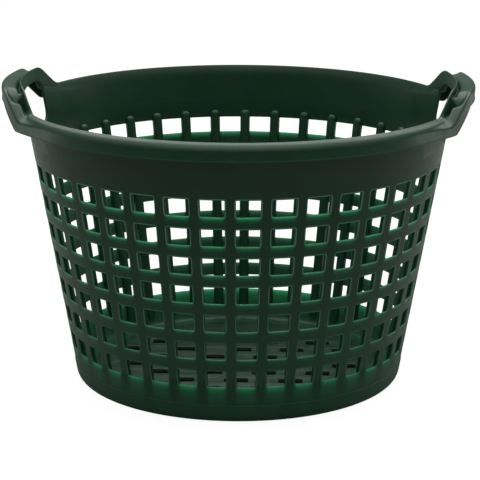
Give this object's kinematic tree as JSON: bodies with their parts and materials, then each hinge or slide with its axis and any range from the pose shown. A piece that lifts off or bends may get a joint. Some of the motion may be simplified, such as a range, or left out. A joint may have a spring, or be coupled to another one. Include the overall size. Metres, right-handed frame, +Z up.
{
  "type": "garden basket",
  "caption": "Round tapered harvest basket of moulded green plastic with an open lattice wall, a slotted floor, a turned-down rim and two raised grooved handles over hand openings.",
  "frame": {"origin": "centre of the base, on the surface that the basket stands on", "axes": "+Z up out of the mouth, X across the two handles, Y along each handle's grip"},
  "size_m": [0.48, 0.4564, 0.3125],
  "materials": {
    "moulded_plastic": "dark bottle green polyethylene, satin as moulded"
  },
  "bodies": {
    "root": {"base_floor": "moulded_plastic", "foot_ring": "moulded_plastic", "heel_ring": "moulded_plastic", "lower_band": "moulded_plastic", "hoop_1": "moulded_plastic", "hoop_2": "moulded_plastic", "hoop_3": "moulded_plastic", "hoop_4": "moulded_plastic", "hoop_5": "moulded_plastic", "hoop_6": "moulded_plastic", "wall_staves": "moulded_plastic", "upper_band": "moulded_plastic", "rim_front": "moulded_plastic", "rim_back": "moulded_plastic", "handle_left": "moulded_plastic", "handle_right": "moulded_plastic"}
  },
  "joints": []
}
